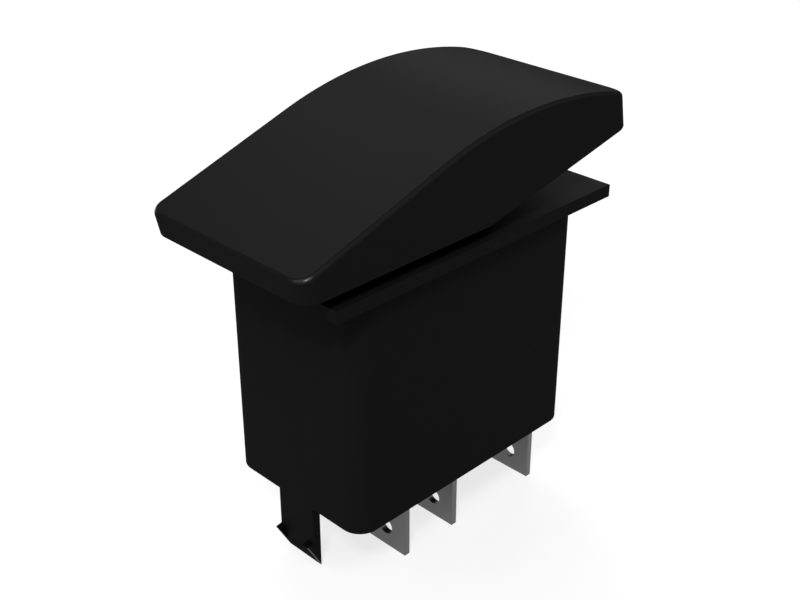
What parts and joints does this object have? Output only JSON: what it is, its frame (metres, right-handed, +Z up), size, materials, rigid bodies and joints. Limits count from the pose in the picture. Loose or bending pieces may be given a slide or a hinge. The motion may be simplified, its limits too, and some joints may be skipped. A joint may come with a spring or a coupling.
{
  "type": "panel rocker switch",
  "caption": "Panel rocker switch with a wide humped rocker over a flanged rectangular body, flat blade terminals and barbed legs below.",
  "frame": {"origin": "centre of the flange's underside, in the plane that seats on the panel", "axes": "+Z up out of the panel, +X along the switch towards the end of the rocker that stands up at rest, +Y across"},
  "size_m": [0.0499, 0.024, 0.0517],
  "materials": {
    "black_plastic": "fine satin moulding",
    "black_rocker_plastic": "fine satin moulding",
    "base_plastic": "satin moulding",
    "white_acetal": "smooth natural acetal",
    "spring_steel": "bright drawn wire",
    "arm_brass": "rolled strip",
    "terminal_metal": "dull tin plate",
    "contact_silver": "silver alloy"
  },
  "bodies": {
    "housing": {"housing": "black_plastic", "base": "base_plastic", "common_terminal_a": "terminal_metal", "nose_terminal_a": "terminal_metal", "nose_fixed_contact_a": "contact_silver", "tail_terminal_a": "terminal_metal", "tail_fixed_contact_a": "contact_silver", "common_terminal_b": "terminal_metal", "nose_terminal_b": "terminal_metal", "nose_fixed_contact_b": "contact_silver", "tail_terminal_b": "terminal_metal", "tail_fixed_contact_b": "contact_silver"},
    "rocker": {"rocker": "black_rocker_plastic", "plunger_spring_a": "spring_steel", "plunger_spring_b": "spring_steel"},
    "plunger_a": {"plunger_a": "white_acetal"},
    "arm_a": {"contact_arm_a": "arm_brass", "nose_moving_contact_a": "contact_silver", "tail_moving_contact_a": "contact_silver"},
    "plunger_b": {"plunger_b": "white_acetal"},
    "arm_b": {"contact_arm_b": "arm_brass", "nose_moving_contact_b": "contact_silver", "tail_moving_contact_b": "contact_silver"}
  },
  "joints": [
    {"name": "rocker_tilt", "type": "hinge", "parent": "housing", "child": "rocker", "pos_m": [0, 0, -0.00257], "axis": [0, 1, 0], "range_deg": [0, 12]},
    {"name": "plunger_slide_a", "type": "slide", "parent": "rocker", "child": "plunger_a", "axis": [-0.1045, 0, 0.9945], "range_m": [0, 0.0008], "stiffness_N_per_m": 400, "springref_m": -0.002, "deforming": ["plunger_spring_a"]},
    {"name": "arm_tilt_a", "type": "hinge", "parent": "housing", "child": "arm_a", "pos_m": [0, -0.00524, -0.017], "axis": [0, 1, 0], "range_deg": [-8, 0]},
    {"name": "plunger_slide_b", "type": "slide", "parent": "rocker", "child": "plunger_b", "axis": [-0.1045, 0, 0.9945], "range_m": [0, 0.0008], "stiffness_N_per_m": 400, "springref_m": -0.002, "deforming": ["plunger_spring_b"]},
    {"name": "arm_tilt_b", "type": "hinge", "parent": "housing", "child": "arm_b", "pos_m": [0, 0.00524, -0.017], "axis": [0, 1, 0], "range_deg": [-8, 0]}
  ],
  "couplings": [
    {"joint": "arm_tilt_a", "follows": "rocker_tilt", "ratio": -0.66667},
    {"joint": "arm_tilt_b", "follows": "rocker_tilt", "ratio": -0.66667}
  ]
}
